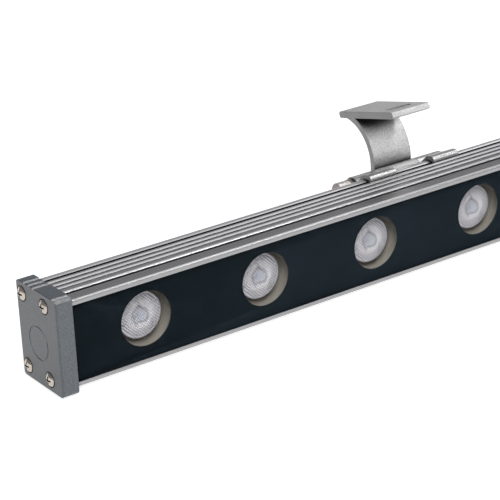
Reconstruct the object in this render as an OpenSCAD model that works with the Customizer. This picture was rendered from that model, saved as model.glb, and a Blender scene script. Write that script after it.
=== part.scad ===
// Linear floodlight: a long extruded housing with a row of lensed LEDs behind a
// masked front glass, two screwed end caps and two sliding, hinged brackets.
// X runs along the lamp from its left end, Y points to its back and Z is up.
// The origin is the middle of the left end cap's underside.
// Profiles are drawn as (d, z): d is the distance behind the end caps' front plane.

/* [Body] */
// Overall length over both end caps
body_len = 1000; // [960:5:1100]
// Height of the end caps
cap_h = 57; // [56:0.5:59]
// Depth of the end caps, front to back
cap_d = 42; // [41.5:0.5:44]
// Thickness of an end cap
cap_t = 10; // [9:0.5:12]
// Thickness of an end cap's outer skin, in front of its cavity
cap_skin = 5; // [4:0.5:6]
// Corner radius of the end caps
cap_corner_r = 3; // [1.5:0.5:4]
// Chamfer around the end caps' outer faces
cap_edge_cut = 0.4; // [0.3:0.05:0.7]
// Chamfer along the front edge of those faces
cap_front_cut = 0.9; // [0.5:0.05:1.2]
// Step from the end caps' top and bottom to the housing
rim_side = 3; // [2.5:0.5:3.5]
// Step from the end caps' front to the housing's lips
rim_front = 2; // [1:0.5:3]
// Step from the housing's back to the end caps' back
rim_back = 2.3; // [1.8:0.1:3]
// Width of the grooves across the end caps' top
cap_groove_w = 2.2; // [1:0.2:3]
// Spacing of the three rear ones
cap_groove_pitch = 4.9; // [4:0.1:5.4]
// Distance of the front one behind the caps' front
cap_groove_front = 3.2; // [3:0.1:4]

/* [Housing] */
// Wall above and below the lens chamber
side_wall = 2.9; // [2.6:0.1:3.6]
// Back wall
back_wall = 2.8; // [2.6:0.1:3.2]
// Thickness of the web that carries the boards
web_t = 2.5; // [2:0.1:3]
// Distance from the housing's front to the web
web_set = 24.6; // [24:0.2:25.6]
// Height of the lips that hold the glass
lip_h = 3.1; // [2.6:0.1:3.6]
// Thickness of those lips
lip_t = 1.2; // [1:0.1:2]
// Wall outside the glass groove
groove_wall = 1.5; // [1.3:0.1:1.7]
// Thickness of the ledge behind the glass groove
ledge_t = 1.5; // [1:0.25:2.5]
// Radius of the housing's front edges
front_edge_r = 1.8; // [1:0.1:2]
// Radius of the housing's rear corners
rear_corner_r = 1; // [0.5:0.25:2]
// Radius of the screw ports
port_r = 2; // [1.8:0.05:2.1]
// Wall around a screw port
port_wall = 1.4; // [1.2:0.1:1.5]
// Distance of the front screw ports behind the caps' front
front_port_d = 13; // [12.6:0.2:14]
// Distance of the rear screw ports in front of the housing's back
rear_port_back = 3.5; // [3.4:0.1:3.6]
// Distance of the screw ports from the housing's top and bottom
port_side = 4.1; // [4:0.1:4.3]
// Width of the slot that the bracket hooks grip
hook_slot_w = 2.4; // [2.1:0.1:2.6]
// Depth of that slot
hook_slot_deep = 1.7; // [1.4:0.1:1.8]
// Width of the rail behind that slot
rail_w = 4.6; // [4.4:0.1:5]
// Width of the flat band along the front of the top
band_w = 8.3; // [7.5:0.1:8.8]
// Depth of the groove behind that band
seam_deep = 1.2; // [0.8:0.1:1.4]
// Radius of the shoulder behind that groove
shoulder_r = 2; // [1.6:0.1:2.4]
// Depth of the fine cooling grooves
fin_deep = 1.3; // [1:0.1:1.5]
// Width of the fine cooling grooves
fin_gap = 1.25; // [1:0.05:1.6]
// Spacing of the fine cooling grooves
fin_pitch = 4.85; // [4.7:0.05:5]
// Rise of the rounded ridges between them
fin_crown = 0.7; // [0.4:0.1:0.8]
// Height of the back groove's centre, for the bracket's toe
toe_slot_z = 16.8; // [16.4:0.1:18]

/* [Front] */
// Thickness of the front glass
glass_t = 3; // [2.5:0.5:4]
// Thickness of the black window mask
mask_t = 0.6; // [0.4:0.1:1.2]
// Diameter of a window in the mask
window_dia = 32; // [26:1:36]
// Thickness of the rubber seals behind the mask
seal_t = 1.4; // [1:0.1:2]
// Width of those seals
seal_w = 3.6; // [2.5:0.1:4]
// Distance of the first and last window from the lamp's ends
led_end = 57.6; // [40:0.2:80]

/* [Optics] */
// Diameter of a lens's flange
lens_dia = 28; // [24:0.5:30]
// Thickness of that flange
lens_flange_t = 1.6; // [1.2:0.1:2.2]
// Diameter of a lens's domed face
lens_face_dia = 23; // [18:0.5:24]
// Rise of that face
lens_rise = 0.9; // [0.5:0.1:1.5]
// Height of a lens from the board to its flange's front
lens_h = 7.5; // [6.5:0.5:11]
// Radius of a lens's foot
lens_foot_r = 6; // [5:0.5:7]
// Radius of the pocket that clears the LED
lens_pocket_r = 3.5; // [3:0.1:4]
// Depth of that pocket
lens_pocket_deep = 5; // [4:0.5:6]
// Radius of a lens leg
leg_r = 1.1; // [0.8:0.1:1.4]
// Width of an LED package
led_w = 3.5; // [3:0.1:3.8]
// Height of an LED package's base
led_h = 1; // [0.7:0.1:1.2]
// Radius of an LED's dome
led_dome_r = 1.4; // [1:0.1:1.6]
// Thickness of an LED board
board_t = 1.6; // [1:0.2:2]
// Width of an LED board
board_w = 36; // [32:1:40]
// Thickness of the white reflector tray
tray_t = 0.8; // [0.5:0.1:1.2]
// Diameter of the tray's lens openings
tray_hole_dia = 22; // [20.5:0.5:23.5]

/* [Driver] */
// Length of the driver board
driver_len = 160; // [130:5:180]
// Width of the driver board
driver_w = 24; // [21:1:26]
// Height of the spacers under the driver board
spacer_h = 1.9; // [1.5:0.1:2.3]
// Height of the tallest part on the driver board
driver_part_h = 3.6; // [3:0.1:3.7]
// Distance from the housing's right end to the driver board
driver_from_end = 30; // [20:5:50]
// Radius of a wire
wire_r = 0.8; // [0.6:0.1:1]
// Bend radius of the wires
wire_bend = 4; // [3:0.5:5]

/* [Cord gland] */
// Radius of the gland's screwed stem
gland_stem_r = 6; // [5:0.5:6.5]
// Width across flats of the gland's body
gland_flats = 16; // [15:0.5:17]
// Width across flats of the gland's nut
gland_nut_flats = 17; // [16.5:0.5:18]
// Radius of the hole in the gland's seal
gland_bore_r = 3.25; // [2.5:0.25:3.25]
// Length of the gland's seal
gland_seal_len = 6; // [5:0.5:8]
// Distance of the gland's axis behind the caps' front
gland_d = 27; // [24:0.5:27]

/* [Screws] */
// Radius of a cap screw's head
cap_screw_head_r = 4; // [3.5:0.1:4.1]
// Height of that head
cap_screw_head_h = 2.6; // [2:0.1:3]
// Length of a cap screw under its head
cap_screw_len = 18; // [14:1:25]
// Depth of the heads' seats in the end caps
cap_seat_deep = 0.9; // [0.5:0.1:2]
// Radial gap around the heads in their seats
cap_seat_gap = 0.6; // [0.3:0.1:0.7]
// Radius of a board screw's shank
board_screw_r = 1.5; // [1.2:0.1:1.7]
// Length of a board screw under its head
board_screw_len = 4.6; // [4.2:0.1:4.8]

/* [Bracket] */
// Place of the left bracket's middle, from the lamp's left end
left_bracket_at = 273; // [240:1:300]
// Place of the right bracket's middle, from the lamp's right end
right_bracket_at = 273; // [240:1:300]
// Length of a bracket's base along the lamp
base_len = 70; // [64:0.5:72]
// Thickness of the base's plate
base_t = 4; // [3.5:0.1:4.2]
// Thickness of the base's hook over the rail
hook_t = 2.75; // [2.4:0.05:3]
// Depth of the flat on top of the hook
hook_flat = 3.7; // [3.4:0.1:4.2]
// Radius of the hook's round crown behind that flat
crown_r = 6; // [5.5:0.1:6.5]
// Gap between a bracket's base and the housing
slide_gap = 0.25; // [0.2:0.05:0.3]
// Distance of the hinge axis behind the housing's back
hinge_back = 10.8; // [10.8:0.1:11.5]
// Distance of the hinge axis below the housing's top
hinge_drop = 8.7; // [8.2:0.1:9.5]
// Radius of the hinge eyes
eye_r = 6.5; // [6:0.1:6.7]
// Width of the arm
arm_w = 29.2; // [25:0.1:32]
// Gap between the arm and the base's eyes, each side
arm_gap = 0.3; // [0.2:0.05:0.5]
// Thickness of the arm
arm_t = 3.8; // [3.2:0.1:4.2]
// Distance of the arm's front face behind the hinge axis
arm_set = 3.7; // [3:0.1:4.5]
// Height above the hinge axis where the arm's bend starts
arm_rise = 6.2; // [5:0.1:8]
// Radius of the bend's front face
bend_r = 30; // [26:0.5:34]
// Thickness of the arm's plate
plate_t = 4.3; // [3.8:0.1:4.8]
// Length of the arm's plate
plate_len = 53.4; // [48:0.2:57]
// Radius of the plate's front edges
plate_edge_r = 1.9; // [1:0.1:2]
// Slope of the arm's plate at rest
plate_tilt = 13; // [8:1:18]
// Distance of the plate's top below the crest of the bend's circle
plate_sink = 1.2; // [0.5:0.1:2]
// Distance of the plate's rear end from the point over the bend's centre
plate_start = 2.2; // [1.5:0.1:4]
// Width of the plate's fixing slot
slot_w = 6.5; // [5:0.5:8]
// End-to-end length of that slot
slot_len = 18; // [14:1:22]
// Distance of that slot's centre from the plate's front edge
slot_set = 12; // [10:0.5:16]

/* [Bracket screws] */
// Radius of the hinge bolt's shank
bolt_r = 2.95; // [2.5:0.05:3.2]
// Radial running gap around that shank
bolt_gap = 0.07; // [0.03:0.01:0.1]
// Radius of the hinge bolt's head
bolt_head_r = 5.5; // [4.4:0.1:5.8]
// Height of that head
bolt_head_h = 9; // [6:0.5:10]
// Radius of the flat washers
washer_r = 5.7; // [5.2:0.1:6.4]
// Thickness of the washers
washer_t = 1.6; // [1.2:0.1:2]
// Width across flats of the lock nut
nut_flats = 10; // [9.5:0.5:11]
// Height of the lock nut
nut_h = 6; // [5:0.5:7]
// Radius of the grub screws
grub_r = 2.45; // [2:0.05:2.7]
// Length of the grub screws
grub_len = 6; // [5:0.5:8]
// Distance of the grub screws from the bracket's middle
grub_at = 22; // [18:0.5:26]
// Height of the grub screws
grub_z = 28.5; // [24:0.5:30]

/* [Hidden] */
$fn = 64;
led_count = 12;
// Overlap that makes a cut pass clean through a face
eps = 0.05;

// Ends of the lamp and of its housing along X
x_left = -cap_t / 2;
x_right = x_left + body_len;
x_house = x_left + cap_t;
house_len = body_len - 2 * cap_t;
x_house_end = x_house + house_len;
x_middle = x_left + body_len / 2;

// Heights
z_bottom = rim_side;
z_top = cap_h - rim_side;
z_mid = cap_h / 2;
z_floor = z_bottom + side_wall;
z_ceiling = z_top - side_wall;
z_groove = z_bottom + groove_wall;
z_opening = z_bottom + lip_h;
z_ledge = z_opening + lip_t;

// Depths behind the end caps' front plane, from front to back
fit_gap = 0.2;
d_front = rim_front;
d_glass = d_front + lip_t;
d_mask = d_glass + glass_t;
d_seal = d_mask + mask_t;
d_ledge = d_seal + seal_t;
d_web = d_front + web_set;
d_board = d_web - board_t;
d_tray = d_board - tray_t;
d_chamber = d_web + web_t;
d_back = cap_d - rim_back;
d_back_wall = d_back - back_wall;
d_rail = d_back - rail_w;
d_slot = d_rail - hook_slot_w;
d_driver = d_chamber + spacer_h;

// Screw ports: (d, z) of the four corners
port_points = [for (d = [front_port_d, d_back - rear_port_back])
               for (z = [z_bottom + port_side, z_top - port_side]) [d, z]];

// Top of the housing behind its front band, as distances from the housing's front
shoulder_at = 13.6;
step_at = 16.1;
first_ridge = 20.2;
ridge_count = 3;
ridge_drop = 0.1;
ridge_w = fin_pitch - fin_gap;
ridge_r = ridge_w * ridge_w / (8 * fin_crown) + fin_crown / 2;
rail_drop = 0.05;
rail_crown = 0.5;
rail_r = rail_w * rail_w / (8 * rail_crown) + rail_crown / 2;

// Back groove for the bracket's toe
toe_t = 2;
toe_drop = 2.6;
toe_in = 2.2;
toe_gap = 0.3;
toe_lip = 1.7;
toe_mouth = toe_t + 2 * toe_gap;
toe_room_d = d_back - toe_lip - toe_in - toe_gap;
toe_room_w = toe_in + toe_gap;
toe_room_z = toe_slot_z - toe_mouth / 2 - toe_drop;
toe_room_h = toe_mouth + toe_drop;
toe_boss = 1.4;

// LED positions
led_pitch = (body_len - 2 * led_end) / (led_count - 1);
led_x = [for (i = [0 : led_count - 1]) x_left + led_end + i * led_pitch];
board_gap = 2;
board_end_gap = 1;
glass_end_gap = 0.5;

// End cap seats and cavity: the cavity's (d, z) box
gasket_t = 1;
ring_at = [cap_d / 2 + 1, cap_h / 2 - 3];
ring_r = 10;
ring_w = 0.6;
ring_deep = 0.25;
cap_groove_count = 3;
cap_groove_d = cap_d / 2 + 2.3;
cavity_d = [10, d_back - 3.7];
cavity_z = [z_bottom + 9.5, z_top - 9.5];
shank_r = port_r - 0.05;
hole_r = port_r + 0.2;

// Bracket places
left_x = x_left + left_bracket_at;
right_x = x_right - right_bracket_at;
hinge_d = d_back + hinge_back;
hinge_z = z_top - hinge_drop;
base_d = d_back + slide_gap;
base_bottom = toe_room_z - 1;
nose_gap = 0.25;
eye_bore_r = bolt_r + bolt_gap;
notch_w = arm_w + 2 * arm_gap;
notch_room = 0.6;
notch_floor = z_top - 4;
head_seat = -base_len / 2 - 2 * washer_t;
bolt_end = base_len / 2 + washer_t + nut_h + 0.1;

// Bend centre and plate, seen from the hinge axis
bend_y = arm_set + bend_r;
bend_z = arm_rise;

// Places its children, drawn as (d, z), as an extrusion from x0 to x0 + len
module along_x(x0, len) {
    translate([x0, -cap_d / 2, 0])
        rotate([90, 0, 90])
            linear_extrude(len)
                children();
}

// Moves its children, whose axis is Z, so that they point to the front at (x, d, z)
module facing_front(x, d, z) {
    translate([x, d - cap_d / 2, z])
        rotate([90, 0, 0])
            children();
}

// Moves its children, whose axis is Z, so that they point to the left at (x, d, z)
module facing_left(x, d, z) {
    translate([x, d - cap_d / 2, z])
        rotate([0, -90, 0])
            children();
}

// Moves its children, whose axis is Z, so that they point to the right at (x, d, z)
module facing_right(x, d, z) {
    translate([x, d - cap_d / 2, z])
        rotate([0, 90, 0])
            children();
}

// Rectangle between two corners
module box2d(a, b) {
    translate([a[0], a[1]])
        square([b[0] - a[0], b[1] - a[1]]);
}

// Rectangle between two corners with rounded corners
module round_box2d(a, b, r) {
    box2d([a[0] + r, a[1]], [b[0] - r, b[1]]);
    box2d([a[0], a[1] + r], [b[0], b[1] - r]);
    for (x = [a[0] + r, b[0] - r])
        for (z = [a[1] + r, b[1] - r])
            translate([x, z])
                circle(r);
}

// Repeats its children mirrored about the lamp's middle height
module top_and_bottom() {
    children();
    translate([0, cap_h])
        mirror([0, 1])
            children();
}

// Groove cut into the housing's top, from depth d, w wide and deep
module top_groove(d, w, deep) {
    box2d([d, z_top - deep], [d + w, z_top + eps]);
}

// Cut behind the front band: a groove whose rear side is a round shoulder
module shoulder_cut() {
    rise = 0.03;
    difference() {
        box2d([d_front + band_w, z_top - seam_deep], [d_front + shoulder_at, z_top + eps]);
        translate([d_front + shoulder_at, z_top - shoulder_r + rise])
            circle(shoulder_r);
    }
}

// Cut from the step behind the shoulder to the hook slot, with round ridges left standing
module ridge_cut() {
    difference() {
        box2d([d_front + step_at, z_top - fin_deep], [d_slot + eps, z_top + eps]);
        for (i = [0 : ridge_count - 1])
            translate([d_front + first_ridge + i * fin_pitch, z_top - ridge_drop - ridge_r])
                intersection() {
                    circle(ridge_r);
                    box2d([-ridge_w / 2, -ridge_r], [ridge_w / 2, ridge_r + 1]);
                }
    }
}

// Cut that rounds the top of the rail behind the hook slot
module rail_cut() {
    difference() {
        box2d([d_rail - eps, z_top - 1.5 * rail_crown], [d_back + 1, z_top + eps]);
        translate([d_rail + rail_w / 2, z_top - rail_drop - rail_r])
            circle(rail_r, $fn = 96);
    }
}

// Outline of the housing with rounded edges
module housing_outline(grow = 0) {
    f = front_edge_r;
    r = rear_corner_r;
    box2d([d_front + f, z_bottom - grow], [d_back - r, z_top + grow]);
    box2d([d_front - grow, z_bottom + f], [d_front + f + eps, z_top - f]);
    box2d([d_back - r - eps, z_bottom + r], [d_back + grow, z_top - r]);
    for (z = [z_bottom + f, z_top - f])
        translate([d_front + f, z])
            circle(f + grow);
    for (z = [z_bottom + r, z_top - r])
        translate([d_back - r, z])
            circle(r + grow);
}

module housing_profile() {
    difference() {
        union() {
            difference() {
                housing_outline();
                // Lens chamber behind the ledges, the opening between them, driver chamber
                box2d([d_ledge + ledge_t, z_floor], [d_web, z_ceiling]);
                box2d([d_ledge - eps, z_ledge], [d_ledge + ledge_t + eps, cap_h - z_ledge]);
                box2d([d_chamber, z_floor], [d_back_wall, z_ceiling]);
            }
            for (p = port_points)
                translate(p)
                    circle(port_r + port_wall);
            // Boss around the toe groove
            box2d([toe_room_d - toe_boss, toe_room_z - toe_boss],
                  [d_back_wall + eps, toe_room_z + toe_room_h + toe_boss]);
        }
        // Glass groove and its opening
        box2d([d_glass, z_groove], [d_ledge, cap_h - z_groove]);
        box2d([d_front - eps, z_opening], [d_glass + eps, cap_h - z_opening]);
        for (p = port_points)
            translate(p)
                circle(port_r);
        top_and_bottom() {
            shoulder_cut();
            ridge_cut();
            top_groove(d_slot, hook_slot_w, hook_slot_deep);
            rail_cut();
        }
        // Toe groove: its mouth and its room
        box2d([toe_room_d + toe_room_w - eps, toe_slot_z - toe_mouth / 2],
              [d_back + eps, toe_slot_z + toe_mouth / 2]);
        box2d([toe_room_d, toe_room_z],
              [toe_room_d + toe_room_w, toe_room_z + toe_room_h]);
    }
}

wire_hole_r = 3;
wire_hole_x = x_house_end - driver_from_end - driver_len - wire_bend - 4;

module housing() {
    color([0.56, 0.56, 0.57])
        difference() {
            along_x(x_house, house_len)
                housing_profile();
            // Hole for the LED wires
            facing_front(wire_hole_x, d_chamber + eps, driver_z)
                cylinder(r = wire_hole_r, h = web_t + 2 * eps);
            // Tapped holes for the board screws and the driver screws
            for (x = board_screw_x)
                facing_front(x, d_chamber + eps, z_mid)
                    cylinder(r = board_screw_r + 0.05, h = web_t + 2 * eps);
            for (p = driver_screw_points)
                facing_front(p[0], d_chamber + eps, p[1])
                    cylinder(r = driver_screw_r + 0.05, h = driver_screw_bite + eps);
        }
}

// Bar along Z that takes a chamfer off an edge; side tells which way the edge faces
module edge_cutter(side, len, cut) {
    reach = 1;
    translate([0, 0, -eps])
        linear_extrude(len + 2 * eps)
            polygon([[-reach, side * (cut + reach)], [cut + reach, -side * reach],
                     [-reach, -side * reach]]);
}

// Solid end cap: round corners seen from its end, chamfers around its outer face
module cap_blank() {
    difference() {
        rotate([90, 0, 90])
            linear_extrude(cap_t)
                round_box2d([0, 0], [cap_d, cap_h], cap_corner_r);
        for (side = [1, -1]) {
            translate([0, cap_d, side > 0 ? 0 : cap_h])
                rotate([90, 0, 0])
                    edge_cutter(side, cap_d, cap_edge_cut);
            translate([0, side > 0 ? 0 : cap_d, 0])
                edge_cutter(side, cap_h, side > 0 ? cap_front_cut : cap_edge_cut);
        }
    }
}

// End cap drawn with its outer face at X = 0 and its front at Y = 0
module cap_body() {
    groove_half = cap_groove_w / 2;
    difference() {
        cap_blank();
        // Pocket for the gasket and cavity behind it
        translate([cap_t - gasket_t, 0, 0])
            rotate([90, 0, 90])
                linear_extrude(gasket_t + eps)
                    housing_outline(grow = fit_gap);
        translate([cap_skin, cavity_d[0], cavity_z[0]])
            cube([cap_t, cavity_d[1] - cavity_d[0], cavity_z[1] - cavity_z[0]]);
        // Screw holes with seats
        for (p = port_points)
            translate([0, p[0], p[1]])
                rotate([0, 90, 0]) {
                    translate([0, 0, -eps])
                        cylinder(r = hole_r, h = cap_t + 2 * eps);
                    translate([0, 0, -eps])
                        cylinder(r = cap_screw_head_r + cap_seat_gap, h = cap_seat_deep + eps);
                }
        // V-grooves across the top: one near its front, the others behind its middle
        for (d = concat([cap_groove_front],
                        [for (i = [0 : cap_groove_count - 1]) cap_groove_d + i * cap_groove_pitch]))
            translate([-eps, d, cap_h])
                rotate([90, 0, 90])
                    linear_extrude(cap_t + 2 * eps)
                        polygon([[-groove_half - 1, 1], [0, -groove_half], [groove_half + 1, 1]]);
    }
}

module left_end_cap() {
    color([0.43, 0.45, 0.47])
        difference() {
            translate([x_left, -cap_d / 2, 0])
                cap_body();
            // Shallow ring in the outer face
            facing_left(x_left + ring_deep, ring_at[0], ring_at[1])
                difference() {
                    cylinder(r = ring_r, h = 2 * ring_deep);
                    translate([0, 0, -eps])
                        cylinder(r = ring_r - ring_w, h = 2 * ring_deep + 2 * eps);
                }
        }
}

module right_end_cap() {
    color([0.43, 0.45, 0.47])
        difference() {
            translate([x_right, -cap_d / 2, 0])
                mirror([1, 0, 0])
                    cap_body();
            facing_right(x_right - cap_t, gland_d, z_mid)
                cylinder(r = gland_stem_r + 0.05, h = cap_t + eps);
        }
}

module gasket_profile() {
    difference() {
        housing_outline();
        box2d([cavity_d[0], cavity_z[0]], [cavity_d[1], cavity_z[1]]);
        for (p = port_points)
            translate(p)
                circle(hole_r);
    }
}

module left_cap_gasket() {
    color([0.85, 0.85, 0.83])
        along_x(x_house - gasket_t, gasket_t)
            gasket_profile();
}

module right_cap_gasket() {
    color([0.85, 0.85, 0.83])
        along_x(x_house_end, gasket_t)
            gasket_profile();
}

// Half outline of a domed head: flat rim, then an arc up to the axis
function dome_points(r, rim_h, h, n = 8) =
    let (rise = h - rim_h, big_r = (r * r + rise * rise) / (2 * rise), a0 = asin(r / big_r))
    concat([[0, 0], [r, 0], [r, rim_h]],
           [for (i = [n - 1 : -1 : 1])
            [big_r * sin(a0 * i / n), h - big_r + big_r * cos(a0 * i / n)]],
           [[0, h]]);

// Pan head screw with a cross recess, its seat at Z = 0 and its head upwards
module pan_screw(head_r, head_h, r, len) {
    recess_w = head_r * 0.24;
    recess_l = head_r * 1.15;
    recess_deep = head_h * 0.55;
    difference() {
        union() {
            rotate_extrude()
                polygon(dome_points(head_r, head_h * 0.4, head_h));
            translate([0, 0, -len])
                cylinder(r = r, h = len + eps);
        }
        for (a = [0, 90])
            rotate([0, 0, a])
                translate([-recess_l / 2, -recess_w / 2, head_h - recess_deep])
                    cube([recess_l, recess_w, head_h]);
    }
}

module cap_screw() {
    pan_screw(cap_screw_head_r, cap_screw_head_h, shank_r, cap_screw_len);
}

module left_cap_screws() {
    color([0.75, 0.73, 0.69])
        for (p = port_points)
            facing_left(x_left + cap_seat_deep, p[0], p[1])
                cap_screw();
}

module right_cap_screws() {
    color([0.75, 0.73, 0.69])
        for (p = port_points)
            facing_right(x_right - cap_seat_deep, p[0], p[1])
                cap_screw();
}

module front_glass() {
    color([0.75, 0.85, 0.87, 0.35])
        along_x(x_house + glass_end_gap, house_len - 2 * glass_end_gap)
            box2d([d_glass, z_groove + fit_gap], [d_mask, cap_h - z_groove - fit_gap]);
}

module window_mask() {
    color([0.05, 0.06, 0.07])
        difference() {
            along_x(x_house + glass_end_gap, house_len - 2 * glass_end_gap)
                box2d([d_mask, z_groove + fit_gap], [d_seal, cap_h - z_groove - fit_gap]);
            for (x = led_x)
                facing_front(x, d_seal + eps, z_mid)
                    cylinder(d = window_dia, h = mask_t + 2 * eps, $fn = 96);
        }
}

module glass_seal() {
    along_x(x_house + glass_end_gap, house_len - 2 * glass_end_gap)
        box2d([d_seal, z_groove + fit_gap], [d_ledge, z_groove + fit_gap + seal_w]);
}

module upper_glass_seal() {
    color([0.2, 0.2, 0.2])
        translate([0, 0, cap_h])
            mirror([0, 0, 1])
                glass_seal();
}

module lower_glass_seal() {
    color([0.2, 0.2, 0.2])
        glass_seal();
}

// Board screws sit midway between every other pair of LEDs
board_screw_x = [for (i = [0 : 2 : led_count - 2]) (led_x[i] + led_x[i + 1]) / 2];
link_l = 14;
link_w = 8;
link_h = 2.5;

module reflector_tray() {
    tray_edge = z_floor + fit_gap;
    tray_l = house_len - 2 * board_end_gap;
    color([0.93, 0.91, 0.87])
        difference() {
            along_x(x_house + board_end_gap, tray_l)
                box2d([d_tray, tray_edge], [d_board, cap_h - tray_edge]);
            for (x = led_x)
                facing_front(x, d_board + eps, z_mid)
                    cylinder(d = tray_hole_dia, h = tray_t + 2 * eps);
            for (x = board_screw_x)
                facing_front(x, d_board + eps, z_mid)
                    cylinder(r = board_screw_r + fit_gap, h = tray_t + 2 * eps);
            translate([x_middle - link_l / 2 - 1, d_tray - cap_d / 2 - eps, z_mid - link_w / 2 - 1])
                cube([link_l + 2, tray_t + 2 * eps, link_w + 2]);
        }
}

// One LED board from x0, of length len
module led_board(x0, len) {
    color([0.9, 0.9, 0.88])
        difference() {
            along_x(x0, len)
                box2d([d_board, z_mid - board_w / 2], [d_web, z_mid + board_w / 2]);
            for (x = board_screw_x)
                facing_front(x, d_web + eps, z_mid)
                    cylinder(r = board_screw_r + fit_gap, h = board_t + 2 * eps);
        }
}

board_len = house_len / 2 - board_end_gap - board_gap / 2;

module left_led_board() {
    led_board(x_house + board_end_gap, board_len);
}

module right_led_board() {
    led_board(x_middle + board_gap / 2, board_len);
}

module board_screws() {
    head_r = board_screw_r * 1.8;
    head_h = board_screw_r * 1.1;
    color([0.72, 0.72, 0.7])
        for (x = board_screw_x)
            facing_front(x, d_tray, z_mid)
                pan_screw(head_r, head_h, board_screw_r, board_screw_len);
}

// Plug-in bridge that joins the two LED boards
module board_link() {
    color([0.92, 0.92, 0.9])
        translate([x_middle - link_l / 2, d_board - link_h - cap_d / 2, z_mid - link_w / 2])
            cube([link_l, link_h, link_w]);
}

module led_packages() {
    color([0.95, 0.85, 0.4])
        for (x = led_x)
            facing_front(x, d_board, z_mid) {
                translate([-led_w / 2, -led_w / 2, 0])
                    cube([led_w, led_w, led_h]);
                intersection() {
                    translate([0, 0, led_h])
                        sphere(led_dome_r);
                    translate([-led_w / 2, -led_w / 2, led_h / 2])
                        cube(led_w);
                }
            }
}

// Moulded lens: LED pocket, cone, flange, domed face and three legs
module lens(x) {
    cone_top = lens_h - lens_flange_t;
    face_r = lens_face_dia / 2;
    leg_at = tray_hole_dia / 2 - leg_r - 0.5;
    foot_gap = 0.4;
    color([0.82, 0.84, 0.86, 0.7])
        facing_front(x, d_board, z_mid)
            union() {
                difference() {
                    union() {
                        translate([0, 0, foot_gap])
                            cylinder(r1 = lens_foot_r, r2 = face_r, h = cone_top - foot_gap);
                        translate([0, 0, cone_top - eps])
                            cylinder(d = lens_dia, h = lens_flange_t + eps);
                        translate([0, 0, lens_h - eps])
                            rotate_extrude()
                                polygon(dome_points(face_r, 0.15, lens_rise));
                    }
                    cylinder(r = lens_pocket_r, h = lens_pocket_deep);
                }
                for (a = [90, 210, 330])
                    rotate([0, 0, a])
                        translate([leg_at, 0, 0])
                            cylinder(r = leg_r, h = cone_top, $fn = 24);
            }
}

// Driver board in the rear chamber, near the right end
driver_x = x_house_end - driver_from_end - driver_len;
driver_t = 1.6;
driver_edge = 6;
driver_screw_r = 1.25;
driver_screw_bite = 1.6;
driver_z = z_mid + 3.5;
driver_screw_points = [for (x = [driver_x + driver_edge, driver_x + driver_len - driver_edge])
                       for (z = [driver_z - driver_w / 2 + 3, driver_z + driver_w / 2 - 3])
                       [x, z]];
terminal_l = 8;

module driver_board() {
    color([0.1, 0.35, 0.2])
        difference() {
            along_x(driver_x, driver_len)
                box2d([d_driver, driver_z - driver_w / 2],
                      [d_driver + driver_t, driver_z + driver_w / 2]);
            for (p = driver_screw_points)
                facing_front(p[0], d_driver + driver_t + eps, p[1])
                    cylinder(r = driver_screw_r + fit_gap, h = driver_t + 2 * eps);
        }
}

module driver_spacers() {
    color([0.8, 0.8, 0.78])
        for (p = driver_screw_points)
            facing_front(p[0], d_driver, p[1])
                difference() {
                    cylinder(r = 2 * driver_screw_r, h = spacer_h);
                    translate([0, 0, -eps])
                        cylinder(r = driver_screw_r + fit_gap, h = spacer_h + 2 * eps);
                }
}

module driver_screws() {
    color([0.72, 0.72, 0.7])
        for (p = driver_screw_points)
            translate([p[0], d_driver + driver_t - cap_d / 2, p[1]])
                rotate([-90, 0, 0])
                    pan_screw(2 * driver_screw_r, 1.6 * driver_screw_r, driver_screw_r,
                              driver_t + spacer_h + driver_screw_bite - 0.2);
}

// Places its children on the driver board's rear face, at (x, z) from its left end
module on_driver(x, z) {
    translate([driver_x + x, d_driver + driver_t - cap_d / 2, driver_z + z])
        rotate([-90, 0, 0])
            children();
}

module driver_coils() {
    coil_r = 5;
    color([0.2, 0.2, 0.22])
        for (f = [0.25, 0.45, 0.65])
            on_driver(driver_len * f, 0) {
                cylinder(r = coil_r, h = driver_part_h * 0.25);
                cylinder(r = coil_r * 0.75, h = driver_part_h);
                translate([0, 0, driver_part_h * 0.75])
                    cylinder(r = coil_r, h = driver_part_h * 0.25);
            }
}

module driver_chips() {
    chip = [6, 5, 1.6];
    color([0.08, 0.08, 0.08])
        for (f = [0.17, 0.35, 0.55, 0.75])
            on_driver(driver_len * f, 0)
                translate([-chip[0] / 2, -chip[1] / 2, 0])
                    cube(chip);
}

module driver_terminals() {
    terminal_w = 10;
    color([0.15, 0.5, 0.25])
        for (x = [0, driver_len - terminal_l])
            on_driver(x, 0)
                translate([0, -terminal_w / 2, 0])
                    cube([terminal_l, terminal_w, driver_part_h]);
}

// Two wires from the driver's left terminal through the web to the LED board's back
module led_wires() {
    wire_d = d_driver + driver_t + driver_part_h / 2;
    straight = driver_x - wire_hole_x - wire_bend;
    for (side = [-1, 1])
        color(side < 0 ? [0.75, 0.1, 0.08] : [0.08, 0.08, 0.08])
            translate([driver_x, wire_d - cap_d / 2, driver_z + side * 1.8]) {
                translate([-straight, 0, 0])
                    rotate([0, 90, 0])
                        cylinder(r = wire_r, h = straight, $fn = 24);
                translate([-straight, -wire_bend, 0])
                    rotate([0, 0, 90])
                        rotate_extrude(angle = 90, $fn = 48)
                            translate([wire_bend, 0])
                                circle(wire_r, $fn = 24);
                translate([-straight - wire_bend, -wire_bend, 0])
                    rotate([90, 0, 0])
                        cylinder(r = wire_r, h = wire_d - wire_bend - d_web, $fn = 24);
            }
}

// Cord gland: lengths along its axis from the right cap's outer face
gland_washer_t = 1;
gland_hex_t = 5;
gland_neck_r = gland_stem_r + 0.6;
gland_neck = gland_washer_t + gland_hex_t;
gland_seal_at = gland_neck + 1;
gland_seal_end = gland_seal_at + gland_seal_len;
gland_tip = gland_seal_end + 6;
gland_room_r = gland_bore_r + 2;
gland_lead_r = gland_bore_r + 0.4;

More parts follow.
